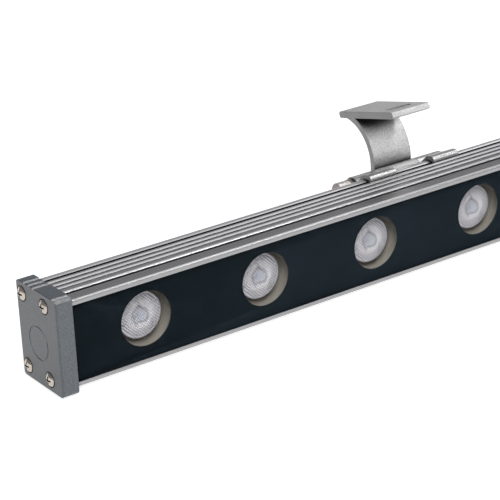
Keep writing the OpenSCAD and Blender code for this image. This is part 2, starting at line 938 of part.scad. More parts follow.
module gland_washer() {
    color([0.12, 0.12, 0.12])
        facing_right(x_right, gland_d, z_mid)
            difference() {
                cylinder(r = gland_stem_r + 2, h = gland_washer_t);
                translate([0, 0, -eps])
                    cylinder(r = gland_stem_r + 0.05, h = gland_washer_t + 2 * eps);
            }
}

module gland_body() {
    color([0.15, 0.15, 0.16])
        facing_right(x_right, gland_d, z_mid)
            difference() {
                union() {
                    translate([0, 0, -cap_skin])
                        cylinder(r = gland_stem_r, h = cap_skin + gland_washer_t + eps);
                    translate([0, 0, gland_washer_t])
                        cylinder(d = gland_flats / cos(30), h = gland_hex_t, $fn = 6);
                    translate([0, 0, gland_neck - eps])
                        cylinder(r = gland_neck_r, h = gland_seal_len + eps);
                }
                translate([0, 0, -cap_skin - eps])
                    cylinder(r = gland_lead_r, h = cap_skin + gland_seal_end);
                translate([0, 0, gland_seal_at])
                    cylinder(r = gland_room_r, h = gland_seal_end);
            }
}

module gland_seal() {
    color([0.1, 0.1, 0.1])
        facing_right(x_right, gland_d, z_mid)
            difference() {
                translate([0, 0, gland_seal_at])
                    cylinder(r = gland_room_r - 0.05, h = gland_seal_len);
                translate([0, 0, gland_seal_at - eps])
                    cylinder(r = gland_bore_r, h = gland_seal_len + 2 * eps);
            }
}

module gland_nut() {
    hex_len = gland_seal_end - gland_neck;
    nut_r = gland_nut_flats / 2;
    color([0.15, 0.15, 0.16])
        facing_right(x_right, gland_d, z_mid)
            difference() {
                union() {
                    translate([0, 0, gland_neck + 0.2])
                        cylinder(r = nut_r / cos(30), h = hex_len - 0.2, $fn = 6);
                    translate([0, 0, gland_seal_end - eps])
                        cylinder(r1 = nut_r, r2 = gland_lead_r + 1.8,
                                 h = gland_tip - gland_seal_end + eps);
                }
                translate([0, 0, gland_neck])
                    cylinder(r = gland_neck_r + 0.05, h = hex_len);
                translate([0, 0, gland_neck])
                    cylinder(r = gland_lead_r, h = gland_tip);
            }
}

// Profile of the bracket's base: hook, plate, toe and eye, as (d, z)
module base_profile() {
    hook_z = z_top + slide_gap;
    hook_top = hook_z + hook_t;
    nose_d = d_slot + nose_gap;
    nose_end = d_rail - nose_gap;
    nose_z = z_top - hook_slot_deep + nose_gap;
    nose_r = 1.8;
    crown_d = nose_d + hook_flat;
    crown_z = hook_top - crown_r;
    plate_back = base_d + base_t;
    toe_d = toe_room_d + toe_gap;
    slope = 45;
    inside = 0.05;
    crown_end = [crown_d + crown_r * sin(slope) - inside, crown_z + crown_r * cos(slope) - inside];
    // Nose with a rounded outer corner
    box2d([nose_d, nose_z], [nose_end, hook_top - nose_r]);
    box2d([nose_d + nose_r, hook_z], [crown_d + inside, hook_top]);
    translate([nose_d + nose_r, hook_top - nose_r])
        intersection() {
            circle(nose_r);
            box2d([-nose_r, 0], [0, nose_r]);
        }
    box2d([nose_d, hook_z], [nose_d + nose_r + eps, hook_top - nose_r + eps]);
    // Crown of the hook
    translate([crown_d, crown_z])
        intersection() {
            circle(crown_r, $fn = 96);
            box2d([0, hook_z - crown_z], [crown_r + 1, crown_r + 1]);
        }
    // Plate, and the slope from the crown down to the eye
    polygon([[base_d, base_bottom], [plate_back, base_bottom], [plate_back, hinge_z - eye_r],
             [hinge_d, hinge_z - eye_r], [hinge_d, hinge_z],
             [hinge_d - eye_r * cos(slope), hinge_z + eye_r * sin(slope)],
             crown_end, [crown_end[0] - crown_r / 4, hook_z], [base_d, hook_z]]);
    translate([hinge_d, hinge_z])
        circle(eye_r);
    // Toe in the back groove
    box2d([toe_d, toe_slot_z - toe_t / 2], [base_d + eps, toe_slot_z + toe_t / 2]);
    box2d([toe_d, toe_room_z + toe_gap], [toe_d + toe_in - toe_gap, toe_slot_z]);
}

module bracket_base(x) {
    color([0.62, 0.62, 0.61])
        difference() {
            along_x(x - base_len / 2, base_len)
                base_profile();
            // Notch for the arm's eye, open towards the rail
            translate([x - notch_w / 2, hinge_d - eye_r - notch_room - cap_d / 2,
                       hinge_z - eye_r - 2])
                cube([notch_w, 3 * eye_r, 4 * eye_r]);
            translate([x - notch_w / 2, d_slot - cap_d / 2, notch_floor])
                cube([notch_w, hinge_back + rail_w + eye_r, 2 * eye_r]);
            facing_right(x - base_len / 2 - eps, hinge_d, hinge_z)
                cylinder(r = eye_bore_r, h = base_len + 2 * eps);
            for (side = [-1, 1])
                facing_front(x + side * grub_at, base_d + base_t + eps, grub_z)
                    cylinder(r = grub_r + 0.05, h = base_t + 2 * eps);
        }
}

// Side view of the arm from the hinge axis: eye, bend and plate
module arm_profile() {
    plate_top = bend_r - plate_sink;
    edge_r = plate_edge_r;
    inside = 2;
    circle(eye_r);
    box2d([arm_set, 0], [arm_set + arm_t, arm_rise + eps]);
    // Quarter bend, ended inside the plate
    translate([bend_y, bend_z])
        intersection() {
            difference() {
                circle(bend_r, $fn = 128);
                circle(bend_r - arm_t, $fn = 128);
            }
            rotate(-plate_tilt)
                box2d([-2 * bend_r, -2 * bend_r], [-plate_start - inside, plate_top - inside]);
            box2d([-2 * bend_r, 0], [0, bend_r]);
        }
    // Plate with rounded ends
    translate([bend_y, bend_z])
        rotate(-plate_tilt)
            translate([-plate_start - plate_len, plate_top - plate_t])
                round_box2d([0, 0], [plate_len, plate_t], edge_r);
}

module bracket_arm(x) {
    color([0.7, 0.7, 0.69])
        translate([x, hinge_d - cap_d / 2, hinge_z])
            difference() {
                translate([-arm_w / 2, 0, 0])
                    rotate([90, 0, 90])
                        linear_extrude(arm_w)
                            arm_profile();
                rotate([0, 90, 0])
                    cylinder(r = eye_bore_r, h = 2 * arm_w, center = true);
                translate([0, bend_y, bend_z])
                    rotate([-plate_tilt, 0, 0])
                        translate([0, slot_set - plate_start - plate_len,
                                   bend_r - plate_sink - plate_t - eps])
                            fixing_slot();
            }
}

// Slot cutter along X, with round ends
module fixing_slot() {
    reach = (slot_len - slot_w) / 2;
    depth = plate_t + 2 * eps;
    translate([-reach, -slot_w / 2, 0])
        cube([2 * reach, slot_w, depth]);
    for (side = [-1, 1])
        translate([side * reach, 0, 0])
            cylinder(d = slot_w, h = depth);
}

module hinge_bolt(x) {
    edge = 0.5;
    color([0.78, 0.77, 0.74])
        facing_left(x + head_seat, hinge_d, hinge_z)
            difference() {
                union() {
                    cylinder(r = bolt_head_r, h = bolt_head_h - edge);
                    translate([0, 0, bolt_head_h - edge])
                        cylinder(r1 = bolt_head_r, r2 = bolt_head_r - edge, h = edge);
                    translate([0, 0, head_seat - bolt_end])
                        cylinder(r = bolt_r, h = bolt_end - head_seat + eps);
                }
                translate([0, 0, bolt_head_h / 2])
                    cylinder(r = bolt_head_r * 0.577, h = bolt_head_h, $fn = 6);
            }
}

// Flat ring of the washers, from its left face
module washer(x, outer_r) {
    facing_right(x, hinge_d, hinge_z)
        difference() {
            cylinder(r = outer_r, h = washer_t);
            translate([0, 0, -eps])
                cylinder(r = bolt_r + fit_gap, h = washer_t + 2 * eps);
        }
}

module spring_washer(x) {
    split = 0.8;
    color([0.5, 0.5, 0.49])
        difference() {
            washer(x + head_seat + washer_t, washer_r - 0.1);
            translate([x + head_seat + 1.5 * washer_t, hinge_d - cap_d / 2, hinge_z])
                rotate([-130, 0, 0])
                    rotate([0, 0, 25])
                        translate([-2 * washer_t, -split / 2, 0])
                            cube([4 * washer_t, split, 2 * washer_r]);
        }
}

module flat_washers(x) {
    color([0.74, 0.74, 0.72])
        for (at = [head_seat, base_len / 2])
            washer(x + at, washer_r);
}

module lock_nut(x) {
    hex_h = nut_h * 0.75;
    color([0.74, 0.74, 0.72])
        facing_right(x + base_len / 2 + washer_t, hinge_d, hinge_z)
            difference() {
                union() {
                    cylinder(d = nut_flats / cos(30), h = hex_h, $fn = 6);
                    cylinder(r = nut_flats * 0.45, h = nut_h);
                }
                translate([0, 0, -eps])
                    cylinder(r = bolt_r + 0.05, h = nut_h + 2 * eps);
            }
}

module grub_screws(x) {
    tip_gap = 0.1;
    color([0.25, 0.25, 0.26])
        for (side = [-1, 1])
            translate([x + side * grub_at, d_back + tip_gap - cap_d / 2, grub_z])
                rotate([-90, 0, 0])
                    difference() {
                        cylinder(r = grub_r, h = grub_len);
                        translate([0, 0, grub_len / 2])
                            cylinder(r = grub_r * 0.577, h = grub_len, $fn = 6);
                    }
}

housing();
left_end_cap();
right_end_cap();
left_cap_gasket();
right_cap_gasket();
left_cap_screws();
right_cap_screws();
front_glass();
window_mask();
upper_glass_seal();
lower_glass_seal();
reflector_tray();
left_led_board();
right_led_board();
board_screws();
board_link();
led_packages();
lens(led_x[0]);  // lens_1
lens(led_x[1]);  // lens_2
lens(led_x[2]);  // lens_3
lens(led_x[3]);  // lens_4
lens(led_x[4]);  // lens_5
lens(led_x[5]);  // lens_6
lens(led_x[6]);  // lens_7
lens(led_x[7]);  // lens_8
lens(led_x[8]);  // lens_9
lens(led_x[9]);  // lens_10
lens(led_x[10]);  // lens_11
lens(led_x[11]);  // lens_12
driver_board();
driver_spacers();
driver_screws();
driver_coils();
driver_chips();
driver_terminals();
led_wires();
gland_body();
gland_washer();
gland_seal();
gland_nut();
bracket_base(left_x);  // left_bracket_base
bracket_arm(left_x);  // left_bracket_arm
hinge_bolt(left_x);  // left_hinge_bolt
spring_washer(left_x);  // left_spring_washer
flat_washers(left_x);  // left_flat_washers
lock_nut(left_x);  // left_lock_nut
grub_screws(left_x);  // left_grub_screws
bracket_base(right_x);  // right_bracket_base
bracket_arm(right_x);  // right_bracket_arm
hinge_bolt(right_x);  // right_hinge_bolt
spring_washer(right_x);  // right_spring_washer
flat_washers(right_x);  // right_flat_washers
lock_nut(right_x);  // right_lock_nut
grub_screws(right_x);  // right_grub_screws
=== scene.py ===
import math

import bmesh
import bpy
from mathutils import Matrix, Vector


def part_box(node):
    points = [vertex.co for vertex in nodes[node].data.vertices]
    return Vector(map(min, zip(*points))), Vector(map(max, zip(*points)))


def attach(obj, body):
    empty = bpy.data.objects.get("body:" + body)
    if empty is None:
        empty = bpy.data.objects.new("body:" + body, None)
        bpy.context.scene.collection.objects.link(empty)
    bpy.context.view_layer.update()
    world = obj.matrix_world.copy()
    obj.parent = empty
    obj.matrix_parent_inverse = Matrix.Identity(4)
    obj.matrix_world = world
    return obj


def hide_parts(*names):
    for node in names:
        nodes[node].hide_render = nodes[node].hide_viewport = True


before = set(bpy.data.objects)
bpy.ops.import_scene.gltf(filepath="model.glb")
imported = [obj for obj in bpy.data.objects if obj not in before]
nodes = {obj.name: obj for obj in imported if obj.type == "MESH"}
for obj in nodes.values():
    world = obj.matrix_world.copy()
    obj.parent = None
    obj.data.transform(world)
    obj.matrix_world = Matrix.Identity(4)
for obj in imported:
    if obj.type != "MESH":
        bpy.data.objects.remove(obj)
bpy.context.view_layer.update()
MM = 0.001

# ---------------------------------------------------------------- camera
SENSOR_MM = 36.0
FOCAL_PX = 1886.45
PHOTO_PX = 500.0

scene = bpy.context.scene
cam_data = bpy.data.cameras.new("camera")
cam = bpy.data.objects.new("camera", cam_data)
scene.collection.objects.link(cam)
scene.camera = cam
right = Vector((0.8101, -0.5848, -0.0420)).normalized()
back = Vector((-0.5267, -0.7573, 0.3860)).normalized()
up = back.cross(right).normalized()
right = up.cross(back).normalized()
cam.matrix_world = Matrix((
    (right.x, up.x, back.x, -0.4320),
    (right.y, up.y, back.y, -0.8144),
    (right.z, up.z, back.z, 0.4560),
    (0, 0, 0, 1)))
cam_data.sensor_width = SENSOR_MM
cam_data.lens = FOCAL_PX * SENSOR_MM / PHOTO_PX
cam_data.clip_start = 0.05
cam_data.clip_end = 30.0
cam_data.dof.use_dof = False
scene.view_settings.view_transform = "Standard"

# ---------------------------------------------------------------- values
# Painted shade on parts of the extrusion: their range of Y and of Z in metres, and the tone
PAINTED_SHADE_ZONES = (
    ((-0.0162, 0.0150), (0.0053, 0.0517), 0.42),   # painted shade in the chambers, unlit inside
    ((-0.0107, -0.0067), (0.0500, 0.0533), 0.06),  # painted shade in the seam behind the front band
    ((0.0117, 0.01425), (0.0500, 0.0538), 0.05),   # painted shade in the slot in front of the rail
)
# Painted light and shade, from front to back by Y in metres: front face, band, top and rail
PAINTED_LIGHT_BANDS = ((-0.0187, 0.66), (-0.0184, 0.86), (-0.0108, 0.86), (-0.0106, 1.0),
                   (0.01425, 1.0), (0.0144, 1.45))
BAND_SCALE, BAND_SHIFT = 20.0, 0.42  # these bring Y into the 0 to 1 of a colour ramp

# The beaded lens, in mm: r is the distance from its axis
LENS_COUNT = 12
LENS_TOP = 7.5
BEAD_EDGE = 12.6
BEAD_PITCH = 1.4
BEAD_RISE = 0.5
BEAD_CELLS = 6  # mesh cells over one pitch
BEAD_TURN = math.radians(45)
GRID_HALF = 13.0
RIM_SIDES = 96
RING_R, RING_WIDTH, RING_RISE = 8.2, 2.3, 0.75
LEDGE_R, LEDGE_WIDTH, LEDGE_DEPTH = 5.2, 0.5, 0.10
DIMPLE_WIDTH, DIMPLE_DEPTH = 4.6, 1.1
# Rim, flange and cup below the face: r and height over the foot
LENS_BODY = (
    (BEAD_EDGE - 0.35, LENS_TOP - 0.03), (BEAD_EDGE + 0.05, LENS_TOP + 0.05),
    (13.6, LENS_TOP + 0.05), (14.0, LENS_TOP - 0.25), (14.0, LENS_TOP - 1.5),
    (13.9, LENS_TOP - 1.6), (12.2, LENS_TOP - 1.6), (11.0, LENS_TOP - 2.2),
    (6.0, 0.4), (3.5, 0.4), (3.5, 5.0), (0.01, 5.0))
LEG_ANGLES = (90, 210, 330)
LEG_ORBIT = 9.4
LEG_R = 1.1
LEG_SIDES = 16
LEG_TOP = LENS_TOP - 1.6

AO_SAMPLES = 8
BEVEL_SAMPLES = 6
FLOOR_GLOW = 0.66
FLOOR_SIZE = 12.0
FLOOR_DROP = 0.0003  # keeps the floor out of the plane of the caps' undersides


# ---------------------------------------------------------------- node helpers
class Tree:
    """A node tree under construction. Its helpers take and give output sockets."""

    def __init__(self, tree):
        self.tree = tree
        tree.nodes.clear()

    def feed(self, node, key, value):
        """Link a socket to a node's input, or set the input to a plain value."""
        if isinstance(value, bpy.types.NodeSocket):
            self.tree.links.new(value, node.inputs[key])
        else:
            node.inputs[key].default_value = value

    def node(self, kind, inputs=(), **settings):
        """A new node; inputs gives sockets or plain values by the input's name or index."""
        n = self.tree.nodes.new(kind)
        for key, value in settings.items():
            setattr(n, key, value)
        for key, value in dict(inputs).items():
            self.feed(n, key, value)
        return n

    def maths(self, operation, *values):
        """A Math node over sockets and plain values."""
        n = self.node("ShaderNodeMath", enumerate(values), operation=operation)
        return n.outputs["Value"]

    def split(self, vector):
        """The outputs X, Y and Z of a vector."""
        return self.node("ShaderNodeSeparateXYZ", {"Vector": vector}).outputs

    def ramp(self, source, stops):
        """Colour ramp whose stops are a position and a colour, or one number for a grey."""
        n = self.node("ShaderNodeValToRGB", {"Fac": source})
        els = n.color_ramp.elements
        while len(els) < len(stops):
            els.new(0.5)
        for e, (p, c) in zip(els, stops):
            e.position = p
            e.color = (c, c, c, 1) if isinstance(c, float) else (*c, 1)
        return n.outputs["Color"]

    def blend(self, factor, a, b, kind="MIX"):
        n = self.node("ShaderNodeMix", {"Factor": factor, "A": a, "B": b},
                      data_type="RGBA", blend_type=kind)
        return n.outputs["Result"]

    def times(self, a, b):
        return self.blend(1.0, a, b, "MULTIPLY")


class Shader(Tree):
    """A material under construction, with a Principled node unless it's told otherwise."""

    def __init__(self, name, principled=True):
        self.mat = bpy.data.materials.new(name)
        self.mat.use_nodes = True
        super().__init__(self.mat.node_tree)
        self.out = self.node("ShaderNodeOutputMaterial")
        if principled:
            self.bsdf = self.node("ShaderNodeBsdfPrincipled")
            self.show(self.bsdf)

    def show(self, node):
        self.feed(self.out, "Surface", node.outputs[0])

    def show_mix(self, factor, one, other):
        """Show one shader where the factor is 0, and the other where it's 1."""
        self.show(self.node("ShaderNodeMixShader",
                            {0: factor, 1: one.outputs["BSDF"], 2: other.outputs["BSDF"]}))

    def set(self, **values):
        """Feed the Principled node; an underscore in a name stands for a space."""
        for key, value in values.items():
            self.feed(self.bsdf, key.replace("_", " "), value)

    def here(self):
        """Place on the object, in metres."""
        return self.node("ShaderNodeTexCoord").outputs["Object"]

    def coords(self, scale=(1, 1, 1), turn=(0, 0, 0)):
        n = self.node("ShaderNodeMapping",
                      {"Vector": self.here(), "Scale": scale, "Rotation": turn})
        return n.outputs["Vector"]

    def noise(self, scale, detail, rough, stretch=(1, 1, 1), distort=0.0):
        n = self.node("ShaderNodeTexNoise", {
            "Vector": self.coords(stretch), "Scale": scale, "Detail": detail,
            "Roughness": rough, "Distortion": distort})
        return n.outputs["Fac"]

    def uneven(self, source, colour, spread):
        """The colour, darker and brighter by the spread as the source varies."""
        return self.ramp(source, [(0.3, scaled(colour, 1 - spread)),
                                  (0.7, scaled(colour, 1 + spread))])

    def painted_shade(self, distance, stops):
        """Painted shade by how open the surface is within a distance: low in grooves and slots.
        """
        n = self.node("ShaderNodeAmbientOcclusion", {"Distance": distance}, samples=AO_SAMPLES)
        return self.ramp(n.outputs["AO"], stops)

    def normal(self, axis):
        """One axis of the direction that the surface faces."""
        return self.split(self.node("ShaderNodeNewGeometry").outputs["Normal"])[axis]

    def along_x(self):
        """1 on faces that look along X, 0 on the others."""
        return self.ramp(self.maths("ABSOLUTE", self.normal("X")), [(0.6, 0.0), (0.85, 1.0)])

    def front_slope(self):
        """1 on slopes that look up and to the front, 0 on level and upright faces."""
        rise = self.ramp(self.normal("Z"), [(0.3, 0.0), (0.45, 1.0), (0.88, 1.0), (0.96, 0.0)])
        forward = self.maths("MULTIPLY", self.normal("Y"), -1.0)
        return self.times(rise, self.ramp(forward, [(0.1, 0.0), (0.3, 1.0)]))

    def relief(self, source, depth, strength=0.5, bevel=0.0):
        """Bump of a depth by the source, on edges rounded by a bevel's radius, in metres."""
        inputs = {"Height": source, "Distance": depth, "Strength": strength}
        if bevel:
            rounded = self.node("ShaderNodeBevel", {"Radius": bevel}, samples=BEVEL_SAMPLES)
            inputs["Normal"] = rounded.outputs["Normal"]
        self.set(Normal=self.node("ShaderNodeBump", inputs).outputs["Normal"])


def lin(r, g, b):
    """Linear colour of an 8-bit sRGB one."""
    def one(v):
        v = v / 255.0
        return v / 12.92 if v <= 0.04045 else ((v + 0.055) / 1.055) ** 2.4
    return (one(r), one(g), one(b))


def scaled(c, k):
    return tuple(v * k for v in c)


# ---------------------------------------------------------------- materials
def metal(name, colour, rough, grain, grain_depth=0.00001, bevel=0.0, metallic=1.0, spread=0.06,
          reach=0.0015, shade=((0.3, 0.12), (0.62, 0.75), (0.95, 1.0)), shaded_end_colour=None, speck=0.0):
    """Bare metal: its colour and roughness vary a little, over a fine grain.

    shade is a painted shade: the tone by how open the surface is within reach, low in grooves,
    recesses and under parts. The colour for the end faces, which look along X, is duller and
    rougher: saw-cut on the bracket, and painted shade as well. speck is how dark the grain gets.
    """
    s = Shader(name)
    s.set(Metallic=metallic, Roughness=rough)
    big = s.noise(60.0, 5.0, 0.6)
    fine = s.noise(grain, 3.0, 0.6)
    # Painted shade in grooves, recesses and under parts
    tone = s.times(s.uneven(big, colour, spread), s.painted_shade(reach, shade))
    if speck:
        tone = s.times(tone, s.ramp(fine, [(0.36, 1 - speck), (0.64, 1.0)]))
    gloss = s.ramp(fine, [(0.3, rough - 0.07), (0.7, rough + 0.09)])
    # Painted shade on the faces along X, with their duller, rougher cut
    if shaded_end_colour:
        at_end = s.along_x()
        tone = s.blend(at_end, tone, s.uneven(big, shaded_end_colour, spread))
        gloss = s.blend(at_end, gloss, s.ramp(fine, [(0.3, 0.5), (0.7, 0.66)]))
    s.set(Base_Color=tone, Roughness=gloss)
    s.relief(fine, grain_depth, 1.0, bevel)
    return s.mat


def coat_paint():
    """Fine-textured powder coat: painted shade along X, painted highlight on front slopes."""
    s = Shader("powder_coat")
    s.set(Metallic=0.1, Roughness=0.3, Specular_IOR_Level=0.75)
    base = lin(88, 94, 100)
    speckled = s.ramp(s.noise(850.0, 4.0, 0.75),
                      [(0.34, scaled(base, 0.72)), (0.5, base), (0.66, scaled(base, 1.3))])
    # Painted shade in the grooves and gaps of the coat
    side = s.times(speckled, s.painted_shade(0.0012, [(0.3, 0.25), (0.6, 0.8), (0.9, 1.0)]))
    # Painted shade: the faces along X are darker
    end = s.times(speckled, (0.62, 0.62, 0.62, 1))
    # Painted highlight on slopes that look up and to the front
    painted_highlight = s.ramp(s.noise(700.0, 3.0, 0.6),
                   [(0.35, (0.17, 0.175, 0.18)), (0.65, (0.27, 0.275, 0.28))])
    face = s.blend(s.along_x(), side, end)
    s.set(Base_Color=s.blend(s.front_slope(), face, painted_highlight))
    s.relief(s.noise(1500.0, 4.0, 0.6), 0.00005, bevel=0.0002)
    return s.mat


def anodised():
    """Extruded and anodised aluminium: fine lines run along X, under painted light and shade."""
    s = Shader("anodised_extrusion")
    s.set(Metallic=0.92, Roughness=0.36)
    base = (0.535, 0.53, 0.54)
    lines = s.noise(1.0, 5.0, 0.6, (6.0, 2600.0, 2600.0))
    # Painted shade in the grooves, slots and seam
    tone = s.times(s.ramp(lines, [(0.3, scaled(base, 0.90)), (0.7, scaled(base, 1.07))]),
                   s.painted_shade(0.003, [(0.42, 0.01), (0.58, 0.07), (0.76, 0.65), (0.9, 1.0)]))
    place = s.split(s.here())
    # Painted shade in the chambers, the seam and the slot
    for y_range, z_range, dark in PAINTED_SHADE_ZONES:
        within = [s.maths("COMPARE", place[axis], (low + high) / 2, (high - low) / 2)
                  for axis, (low, high) in (("Z", z_range), ("Y", y_range))]
        tone = s.times(tone, s.ramp(s.maths("MULTIPLY", *within), [(0.0, 1.0), (1.0, dark)]))
    # Painted light and shade: darker front face and band, brighter rail
    painted_light_tone = s.ramp(s.maths("MULTIPLY_ADD", place["Y"], BAND_SCALE, BAND_SHIFT),
                   [(y * BAND_SCALE + BAND_SHIFT, value) for y, value in PAINTED_LIGHT_BANDS])
    s.set(Base_Color=s.times(tone, painted_light_tone), Roughness=s.ramp(lines, [(0.3, 0.24), (0.7, 0.34)]))
    s.relief(lines, 0.00002, bevel=0.00012)
    return s.mat


def plastic(name, colour, rough, spread=0.08, reach=0.002, gap_shade_tone=0.35):
    """Moulded plastic, rubber or board; painted shade takes its narrowest gaps to a given tone.
    """
    s = Shader(name)
    s.set(Roughness=rough)
    s.set(Base_Color=s.times(s.uneven(s.noise(300.0, 4.0, 0.6), colour, spread),
                             s.painted_shade(reach, [(0.2, gap_shade_tone), (0.6, 0.8), (0.95, 1.0)])))
    s.relief(s.noise(1800.0, 3.0, 0.6), 0.00003, bevel=0.0003)
    return s.mat


def clear_glass():
    """Sheet glass: it refracts what is seen through it, and lets other light pass straight.

    It's drawn without reflections: they would be faint, and come out as specks.
    """
    s = Shader("clear_glass", principled=False)
    tint = s.ramp(s.noise(9.0, 3.0, 0.5),
                  [(0.35, (0.975, 0.985, 0.985)), (0.75, (0.99, 0.995, 0.995))])
    clear = s.node("ShaderNodeBsdfRefraction", {"Color": tint, "Roughness": 0.0, "IOR": 1.5})
    straight = s.node("ShaderNodeBsdfTransparent", {"Color": (0.97, 0.975, 0.975, 1)})
    ray = s.node("ShaderNodeLightPath").outputs
    bounce = s.maths("MAXIMUM", ray["Is Diffuse Ray"], ray["Is Glossy Ray"])
    s.show_mix(s.maths("MAXIMUM", ray["Is Shadow Ray"], bounce), clear, straight)
    return s.mat


def mask_black():
    """Black mask sheet: its faces are black, and its paler cut edge shows in the windows."""
    s = Shader("window_mask")
    s.set(Roughness=0.6, Specular_IOR_Level=0.0)
    tone = s.ramp(s.maths("ABSOLUTE", s.normal("Y")),
                  [(0.4, lin(120, 118, 112)), (0.6, lin(37, 45, 51))])
    s.set(Base_Color=s.times(tone, s.ramp(s.noise(14.0, 4.0, 0.6), [(0.3, 0.85), (0.7, 1.12)])))
    return s.mat


def lens_plastic():
    """Shiny beaded acrylic, opaque: painted light and shade stand in for the clear lens and cup.
    """
    s = Shader("lens_acrylic")
    s.set(Roughness=0.12, Metallic=0.1, Specular_IOR_Level=0.9, Coat_Weight=0.5,
          Coat_Roughness=0.04)
    # Painted shade in the valleys between the beads, laid out as lens_mesh() lays them
    turned = s.split(s.coords((1000 * math.pi / BEAD_PITCH,) * 3, (0, BEAD_TURN, 0)))
    waves = [s.maths("ABSOLUTE", s.maths("COSINE", turned[axis])) for axis in "XZ"]
    beads = s.ramp(s.maths("MULTIPLY", *waves), [(0.0, 0.42), (0.2, 0.92), (0.4, 1.0)])
    patches = s.ramp(s.noise(300.0, 5.0, 0.75, distort=1.5),
                     [(0.36, 0.55), (0.43, 0.9), (0.5, 1.0)])
    # Ragged ring zones, painted light and shade: bluish middle, dark step, bright zone
    flat = s.node("ShaderNodeVectorMath", {0: s.here(), 1: (70.0, 0.0, 70.0)},
                  operation="MULTIPLY").outputs["Vector"]
    radius = s.node("ShaderNodeVectorMath", {0: flat}, operation="LENGTH").outputs["Value"]
    ragged = s.maths("MULTIPLY_ADD", s.noise(190.0, 3.0, 0.6), 0.5, radius)
    painted_light_rings = s.ramp(ragged, [
        (0.22, lin(224, 226, 240)), (0.48, lin(230, 230, 240)), (0.58, lin(184, 180, 190)),
        (0.66, lin(255, 250, 255)), (0.98, lin(255, 250, 255)), (1.0, lin(250, 246, 252))])
    s.set(Base_Color=s.times(painted_light_rings, s.times(patches, beads)))
    milky = s.node("ShaderNodeBsdfTranslucent", {"Color": (0.75, 0.77, 0.8, 1)})
    s.show_mix(0.04, s.bsdf, milky)
    return s.mat


def floor_white():
    """Glows white where it's seen, straight or in the lamp, and is pale and matt to light."""
    s = Shader("backdrop_white", principled=False)
    matt = s.node("ShaderNodeBsdfDiffuse", {"Color": (0.72, 0.72, 0.72, 1)})
    ray = s.node("ShaderNodeLightPath").outputs
    seen = s.maths("MAXIMUM", ray["Is Camera Ray"], ray["Is Transmission Ray"])
    seen = s.maths("MAXIMUM", seen, ray["Is Glossy Ray"])
    glow = s.node("ShaderNodeEmission", {
        "Color": (1, 1, 1, 1), "Strength": s.maths("MULTIPLY", seen, FLOOR_GLOW)})
    s.show(s.node("ShaderNodeAddShader", {0: matt.outputs["BSDF"], 1: glow.outputs["Emission"]}))
    return s.mat


ANOD = anodised()
COAT = coat_paint()
# Painted shade darkens the screws' recesses and seats
STEEL = metal("stainless_screw", (0.54, 0.48, 0.42), 0.18, 1500.0, bevel=0.00015, spread=0.2,
              reach=0.004, shade=((0.45, 0.02), (0.7, 0.3), (0.92, 1.0)))
# Painted shade: the bolt's faces along X are darker
BOLT = metal("stainless_bolt", (0.95, 0.91, 0.89), 0.3, 1500.0, bevel=0.0002, reach=0.002,
             shade=((0.3, 0.05), (0.6, 0.5), (0.9, 1.0)), shaded_end_colour=(0.34, 0.30, 0.29))
DARK_STEEL = metal("dark_steel", (0.11, 0.108, 0.105), 0.38, 1500.0, bevel=0.0002)
ZINC = metal("zinc_screw", (0.66, 0.66, 0.64), 0.3, 1500.0)
# Painted shade: far darker faces along X, and on the arm a wide reach darkening it under the
# plate
BLAST = metal("blasted_aluminium", (0.80, 0.79, 0.79), 0.4, 1000.0, grain_depth=0.00022,
              bevel=0.0002, metallic=0.95, spread=0.05, speck=0.3, reach=0.012,
              shade=((0.4, 0.14), (0.68, 0.62), (0.88, 1.0)), shaded_end_colour=(0.30, 0.30, 0.303))
CUT = metal("milled_aluminium", (0.74, 0.73, 0.73), 0.28, 1400.0, grain_depth=0.00004,
            bevel=0.0002, metallic=0.95, spread=0.05, reach=0.003,
            shade=((0.35, 0.04), (0.6, 0.5), (0.9, 1.0)), shaded_end_colour=(0.285, 0.285, 0.288))
GASKET = plastic("silicone_gasket", lin(205, 205, 200), 0.6)
RUBBER = plastic("black_rubber", lin(24, 24, 25), 0.6)
TRAY = plastic("pale_tray", lin(226, 217, 203), 0.55, spread=0.04, reach=0.004, gap_shade_tone=0.6)
BOARD = plastic("white_board", lin(225, 225, 220), 0.35, spread=0.03)
WHITE = plastic("white_plastic", lin(225, 225, 220), 0.45)
LED = plastic("led_phosphor", lin(232, 196, 70), 0.25)
GREEN = plastic("green_board", lin(20, 96, 60), 0.35)
TERMINAL = plastic("green_plastic", lin(40, 130, 70), 0.45)
FERRITE = plastic("dark_ferrite", lin(60, 60, 62), 0.6)
CHIP = plastic("black_chip", lin(28, 28, 30), 0.45)
NYLON = plastic("black_nylon", lin(30, 30, 32), 0.48)
WIRE = plastic("wire_red", lin(150, 26, 22), 0.45)
LENS = lens_plastic()
GLASS = clear_glass()
MASK = mask_black()

PAINT = {
    "housing": ANOD, "front_glass": GLASS, "window_mask": MASK,
    "upper_glass_seal": RUBBER, "lower_glass_seal": RUBBER, "reflector_tray": TRAY,
    "board_screws": ZINC, "board_link": WHITE, "led_packages": LED, "led_wires": WIRE,
    "driver_board": GREEN, "driver_spacers": WHITE, "driver_screws": ZINC,
    "driver_coils": FERRITE, "driver_chips": CHIP, "driver_terminals": TERMINAL,
    "gland_body": NYLON, "gland_washer": RUBBER, "gland_seal": RUBBER, "gland_nut": NYLON,
}
SIDE_PAINT = {
    "end_cap": COAT, "cap_gasket": GASKET, "cap_screws": STEEL, "led_board": BOARD,
    "bracket_base": CUT, "bracket_arm": BLAST, "hinge_bolt": BOLT, "spring_washer": DARK_STEEL,
    "flat_washers": STEEL, "lock_nut": STEEL, "grub_screws": DARK_STEEL,
}
for side in ("left", "right"):
    PAINT.update({f"{side}_{part}": mat for part, mat in SIDE_PAINT.items()})
for i in range(1, LENS_COUNT + 1):
    PAINT[f"lens_{i}"] = LENS
